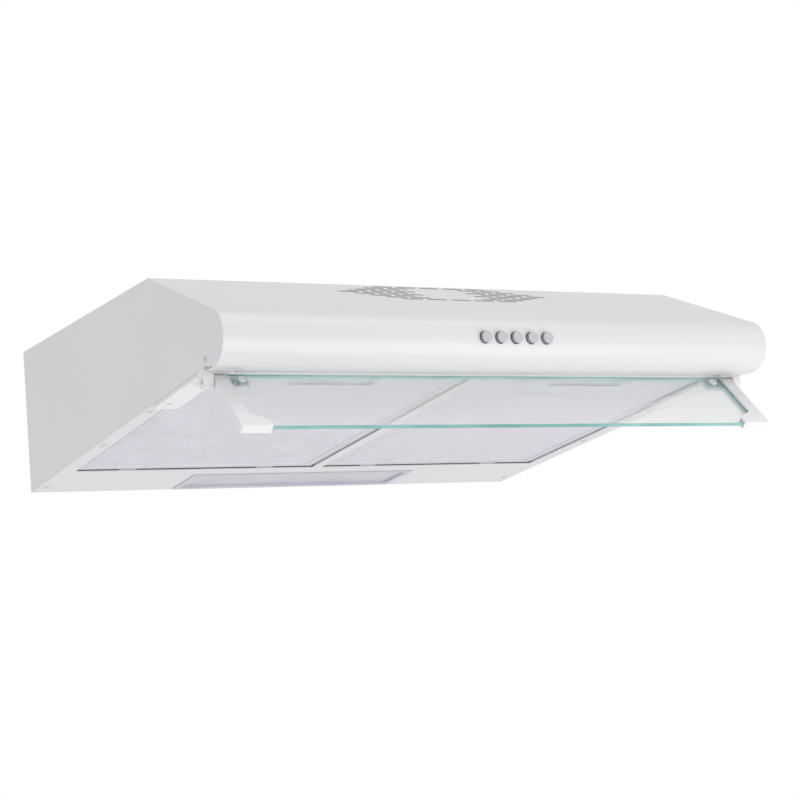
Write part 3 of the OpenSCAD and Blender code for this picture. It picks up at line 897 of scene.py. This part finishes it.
@dataclass
class Controls:
    """Five push buttons with a rounded rim and a shallow dish, and the switch block behind them."""

    rim: float = 0.9 * MM
    dish: float = 0.45 * MM
    stem: float = 2.5 * MM
    shoulder: float = 11.5 * MM
    flat: float = 0.6 * MM
    chamfer: float = 0.4 * MM
    wall_turn: float = 0.5
    switch_edge: float = 0.4 * MM
    steps: int = 48
    face_steps: int = 8
    rim_steps: int = 7

    def button(self, name: str) -> None:
        """Turns one button: a dished face, a quarter-round rim, a straight cap and its stem.

        The dish is half a cosine wave, deepest in the middle. The profile is turned about Z, then laid
        along Y. Faces whose normal leans away from Y take a darker metal: painted shade on the wall.

        Args:
            name: The button's CAD node.
        """
        low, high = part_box(name)
        radius = (high.x - low.x) / 2
        length = high.y - low.y
        r = np.linspace(0, radius - self.rim - self.flat, self.face_steps)
        face = np.stack([r, -self.dish * (1 + np.cos(math.pi * r / r[-1])) / 2], axis=1)
        a = np.linspace(0, math.pi / 2, self.rim_steps)
        edge = np.stack([radius - self.rim + self.rim * np.sin(a), self.rim * (np.cos(a) - 1)], axis=1)
        rest = np.array([[radius, self.chamfer - self.shoulder], [radius - self.chamfer, -self.shoulder],
                         [self.stem, -self.shoulder], [self.stem, -length], [0.0, -length]])
        points, faces = turned(np.vstack([face, edge, rest]), self.steps)
        points = points[:, [0, 2, 1]] * [1, -1, 1]
        made = add_mesh(f"{name}_cap", points + [(low.x + high.x) / 2, low.y, (low.z + high.z) / 2], faces)
        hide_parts(name)
        dress(made, BUTTON_SILVER, body_of_node(name))
        towards = face_vectors(made.data, PerFace.NORMAL)[:, 1]
        # The side walls take a darker metal: painted shade.
        second_finish(made, BUTTON_WALL_SHADE, np.abs(towards) < self.wall_turn)

    def build(self) -> None:
        """Makes the buttons and dresses the switch."""
        for name in BUTTONS:
            self.button(name)
        edged("switch_block", DARK_PLASTIC, self.switch_edge)
        edged("switch_bracket", ZINC)
        edged("switch_screws", FASTENER)


# ---------------------------------------------------------------- visor


@dataclass
class Visor:
    """The folding glass visor, its arms, clips, pins and brackets."""

    glass_edge: float = 0.5 * MM
    arm_edge: float = 0.9 * MM
    bracket_edge: float = 0.6 * MM
    pin_edge: float = 0.2 * MM
    clip_edge: float = 0.5 * MM
    edge_turn: float = 0.8

    def glass(self) -> None:
        """The pane: clear on its two faces, green where the ground edges show."""
        made = edged("visor_glass", GLASS_FACE, self.glass_edge)
        finished_mesh(made)
        areas = np.zeros(len(made.data.polygons))
        made.data.polygons.foreach_get("area", areas)
        normals = face_vectors(made.data, PerFace.NORMAL)
        across = normals[np.argmax(areas)]
        second_finish(made, GLASS_EDGE, np.abs(normals @ across) < self.edge_turn)

    def build(self) -> None:
        """Makes the visor and what it hangs on."""
        self.glass()
        for side in Side:
            edged(f"{side.value}_visor_arm", WHITE_PLASTIC, self.arm_edge)
            edged(f"{side.value}_visor_bracket", WHITE_PLASTIC, self.bracket_edge)
            edged(f"{side.value}_visor_pin", FASTENER, self.pin_edge)
        edged("visor_glass_clips", WHITE_PLASTIC, self.clip_edge)


# ---------------------------------------------------------------- grease filters


@dataclass
class GreaseFilter:
    """One filter cassette: a rolled frame, a sliding latch and expanded mesh in front of finer mesh."""

    side: Side
    rim: float = 10.0 * MM
    length: float = 355.0 * MM
    width: float = 272.0 * MM
    cell: tuple[float, float] = (6.0 * MM, 3.0 * MM)
    strand: float = 0.55 * MM
    swing: float = 0.86
    lift: tuple[float, float] = (0.2 * MM, 0.25 * MM)
    pocket: tuple[float, float] = (48.0 * MM, 34.5 * MM)
    pocket_gap: float = 2.0 * MM
    frame_edge: float = 0.35 * MM
    latch_edge: float = 0.4 * MM
    outer_band: float = 1.0 * MM
    side_turn: float = 0.5

    def __post_init__(self) -> None:
        """Reads the hinge and the direction of the sloping base from the joints."""
        joints = {j["name"]: j for j in frame["joints"]}
        self.pivot = np.array(joints[f"{self.side.value}_filter_hinge"]["pos_m"])
        along = np.array(joints[f"{self.side.value}_latch_slide"]["axis"])
        self.axes = np.array([[1.0, 0.0, 0.0], along, np.cross([1.0, 0.0, 0.0], along)])

    def expanded_mesh(self) -> tuple[np.ndarray, np.ndarray]:
        """Zigzag strands, row by row, that meet at their peaks.

        Along a strand the offset swaps sign at each half cell, and each row swaps it again, so that two rows
        touch where one peaks down and the next peaks up. A strand is a flat bar of four corners, and it
        rises by the second lift at its peaks. Strands are left out where the latch and its pocket are.

        Returns:
            Points and faces in the row frame.
        """
        half, wide = self.width / 2 - self.rim, self.cell[0] / 2
        columns = int(2 * half / wide)
        rows = int((self.length - 2 * self.rim) / self.cell[1])
        row, column = np.meshgrid(np.arange(rows), np.arange(columns + 1), indexing="ij")
        x = -half + column * (2 * half / columns)
        peak = np.where((row + column) % 2 == 0, 0.5, -0.5)
        y = -self.rim - (row + 0.5 + self.swing * peak) * self.cell[1]
        corner = np.array([[-0.5, 0.0], [0.5, 0.0], [0.5, 0.5], [-0.5, 0.5]]) * self.strand
        points = np.zeros((rows, columns + 1, 4, 3))
        points[..., 0] = x[..., None]
        points[..., 1] = y[..., None] + corner[:, 0]
        points[..., 2] = self.lift[0] + self.lift[1] * (peak[..., None] + 0.5) + corner[:, 1]
        counts = (np.arange(n) for n in (rows, columns, len(corner)))
        r, c, k = (a.ravel() for a in np.meshgrid(*counts, indexing="ij"))
        first = (r * (columns + 1) + c) * 4
        faces = np.stack([first + k, first + (k + 1) % 4, first + 4 + (k + 1) % 4, first + 4 + k], axis=1)
        beside = np.abs(x[r, c]) < self.pocket[0] + wide
        in_pocket = beside & (y[r, c] < self.pocket[1] + self.pocket_gap - self.length)
        return points.reshape(-1, 3) @ self.axes + self.pivot, faces[~in_pocket]

    def cassette(self) -> None:
        """Makes the rolled frame, with painted shade on its outer walls, where they stand in the gap of the
        window.
        """
        made = edged(f"{self.side.value}_filter_frame", FILTER_METAL, self.frame_edge)
        place = (face_vectors(made.data, PerFace.CENTRE) - self.pivot) @ self.axes.T
        at_sides = np.abs(place[:, 0]) > self.width / 2 - self.outer_band
        at_ends = np.abs(place[:, 1] + self.length / 2) > self.length / 2 - self.outer_band
        upright = np.abs(face_vectors(made.data, PerFace.NORMAL) @ self.axes[2]) < self.side_turn
        # The outer walls take a darker metal: painted shade of the gap between frame and window.
        second_finish(made, FILTER_GAP_SHADE, (at_sides | at_ends) & upright)

    def strands(self) -> None:
        """Makes the expanded mesh, without the points that no face uses."""
        points, faces = self.expanded_mesh()
        used, index = np.unique(faces, return_inverse=True)
        mesh = bpy.data.meshes.new(f"{self.side.value}_filter_strands")
        mesh.from_pydata(points[used].tolist(), [], index.reshape(faces.shape).tolist())
        dress(new_object(mesh.name, mesh), FILTER_WEAVE, f"{self.side.value}_filter")

    def build(self) -> None:
        """Makes the cassette, its latch and its meshes."""
        self.cassette()
        edged(f"{self.side.value}_filter_latch", FILTER_METAL, self.latch_edge)
        repaint(f"{self.side.value}_filter_mesh", FILTER_WEAVE)
        self.strands()


# ---------------------------------------------------------------- lamp


@dataclass
class Lamp:
    """The lamp: a milky lens, and two candle bulbs in their tray above it."""

    lens_edge: float = 0.4 * MM
    tray_edge: float = 0.3 * MM
    holder_edge: float = 0.5 * MM

    def build(self) -> None:
        """Makes the lamp."""
        edged("lamp_lens", LENS, self.lens_edge)
        edged("lamp_tray", ZINC, self.tray_edge)
        for side in Side:
            edged(f"{side.value}_lamp_holder", WHITE_PLASTIC, self.holder_edge)
            edged(f"{side.value}_bulb", OPAL)


# ---------------------------------------------------------------- air path and electrics


@dataclass
class AirPath:
    """Fan, housing, duct and what hangs in them."""

    moulded_edge: float = 0.3 * MM
    carbon_edge: float = 0.5 * MM
    motor_edge: float = 0.4 * MM

    def build(self) -> None:
        """Makes the air path."""
        for node in ("outlet_duct", "outlet_spigot", "front_draft_flap", "rear_draft_flap", "air_shutter",
                     "fan_housing_lower", "fan_housing_upper", "inlet_guard"):
            edged(node, DARK_PLASTIC, self.moulded_edge)
        edged("fan_wheel", FAN_PLASTIC)
        edged("charcoal_filter", CARBON, self.carbon_edge)
        edged("motor", MOTOR_METAL, self.motor_edge)
        for node in ("motor_shaft", "motor_screws", "fan_posts", "flap_pin"):
            edged(node, FASTENER)


@dataclass
class Electrics:
    """Terminal box, capacitor, gland and the leads inside the casing."""

    moulded_edge: float = 0.4 * MM
    capacitor_edge: float = 0.6 * MM

    def build(self) -> None:
        """Makes the electrical pieces."""
        edged("cable_gland", RUBBER, self.moulded_edge)
        edged("terminal_box", WHITE_PLASTIC, self.moulded_edge)
        edged("terminal_cover", WHITE_PLASTIC, self.moulded_edge)
        edged("capacitor", CASE_PLASTIC, self.capacitor_edge)
        edged("capacitor_clip", ZINC)
        for node, finish in (("switch_lead", WHITE_LEAD), ("lamp_lead", WHITE_LEAD), ("motor_lead", RUBBER)):
            edged(node, finish)


# ---------------------------------------------------------------- studio


@dataclass(frozen=True)
class SoftLamp:
    """A large square lamp that points at a place, with its side in metres and its power in watts."""

    name: str
    place: Point
    target: Point
    size: float
    power: float

    def build(self) -> None:
        """Makes the lamp."""
        data = bpy.data.lights.new(self.name, "AREA")
        data.size, data.energy = self.size, self.power
        made = bpy.data.objects.new(self.name, data)
        made.location = self.place
        way = Vector(self.target) - Vector(self.place)
        made.rotation_euler = way.to_track_quat("-Z", "Y").to_euler()
        bpy.context.scene.collection.objects.link(made)


@dataclass
class Studio:
    """A white room: pale floor, even light from all round, and soft lamps in front."""

    eye: Point = (-1.00767, -1.85805, -0.40879)
    yaw: float = 0.5211
    pitch: float = 0.1496
    roll: float = -0.0849
    lens: float = 89.16
    clip_end: float = 50.0
    floor_height: float = -2.5
    floor_side: float = 22.0
    floor_colour: Colour = (0.86, 0.86, 0.87)
    floor_glow: float = 0.21
    ambient: float = 0.74
    ambient_colour: Colour = (1.0, 0.995, 1.0)
    lamps: tuple[SoftLamp, ...] = (
        SoftLamp("high_lamp", (0.4, -0.9, 2.2), (0.0, -0.2, -0.05), 1.8, 13.0),
        SoftLamp("low_lamp", (0.45, -1.35, -0.85), (0.0, -0.33, -0.1), 1.0, 6.5),
    )

    def camera(self) -> None:
        """Places the camera low and to the left, looking up at the hood."""
        level = math.cos(self.pitch)
        ahead = Vector((math.sin(self.yaw) * level, math.cos(self.yaw) * level, math.sin(self.pitch)))
        right = Vector((math.cos(self.yaw), -math.sin(self.yaw), 0.0))
        up = right.cross(ahead)
        right, up = (math.cos(self.roll) * right + math.sin(self.roll) * up,
                     math.cos(self.roll) * up - math.sin(self.roll) * right)
        data = bpy.data.cameras.new("camera")
        data.lens, data.clip_end = self.lens, self.clip_end
        made = bpy.data.objects.new("camera", data)
        turn = Matrix((right, up, -ahead)).transposed()
        made.matrix_world = Matrix.Translation(self.eye) @ turn.to_4x4()
        bpy.context.scene.collection.objects.link(made)
        bpy.context.scene.camera = made

    def floor(self) -> None:
        """A wide plain pale floor, well below the hood."""
        side, low = self.floor_side, self.floor_height
        points = np.array([[-side, -side, low], [side, -side, low], [side, side, low], [-side, side, low]])
        made = add_mesh("floor", points, [[0, 1, 2, 3]])
        finish = Shader("floor").surface(base_color=self.floor_colour, roughness=0.9, emission_color=WHITE,
                                         emission_strength=self.floor_glow)
        made.data.materials.append(finish)

    def world(self) -> None:
        """Even white light from all round, seen by the camera as pure white."""
        world = bpy.data.worlds.new("room")
        world.use_nodes = True
        nodes = Nodes(world.node_tree)
        path = nodes.node("ShaderNodeLightPath", {}, {})
        seen = nodes.node("ShaderNodeBackground", {}, {"Strength": 1.0, "Color": WHITE})
        lit = nodes.node("ShaderNodeBackground", {}, {"Strength": self.ambient, "Color": self.ambient_colour})
        mix = nodes.node("ShaderNodeMixShader", {}, {0: path.outputs["Is Camera Ray"], 1: lit.outputs[0],
                                                     2: seen.outputs[0]})
        nodes.node("ShaderNodeOutputWorld", {}, {"Surface": mix.outputs[0]})
        bpy.context.scene.world = world

    def build(self) -> None:
        """Sets up the room."""
        self.camera()
        self.floor()
        self.world()
        for lamp in self.lamps:
            lamp.build()
        bpy.context.scene.view_settings.view_transform = "Standard"


def main() -> None:
    """Builds the hood piece by piece, then the studio."""
    logging.basicConfig(level=logging.INFO, format="%(name)s %(message)s")
    sub_assemblies = (Casing(), Controls(), Visor(), GreaseFilter(Side.LEFT), GreaseFilter(Side.RIGHT),
                      Lamp(), AirPath(), Electrics())
    for part in sub_assemblies:
        part.build()
    Studio().build()


if __name__ == "__main__":
    main()
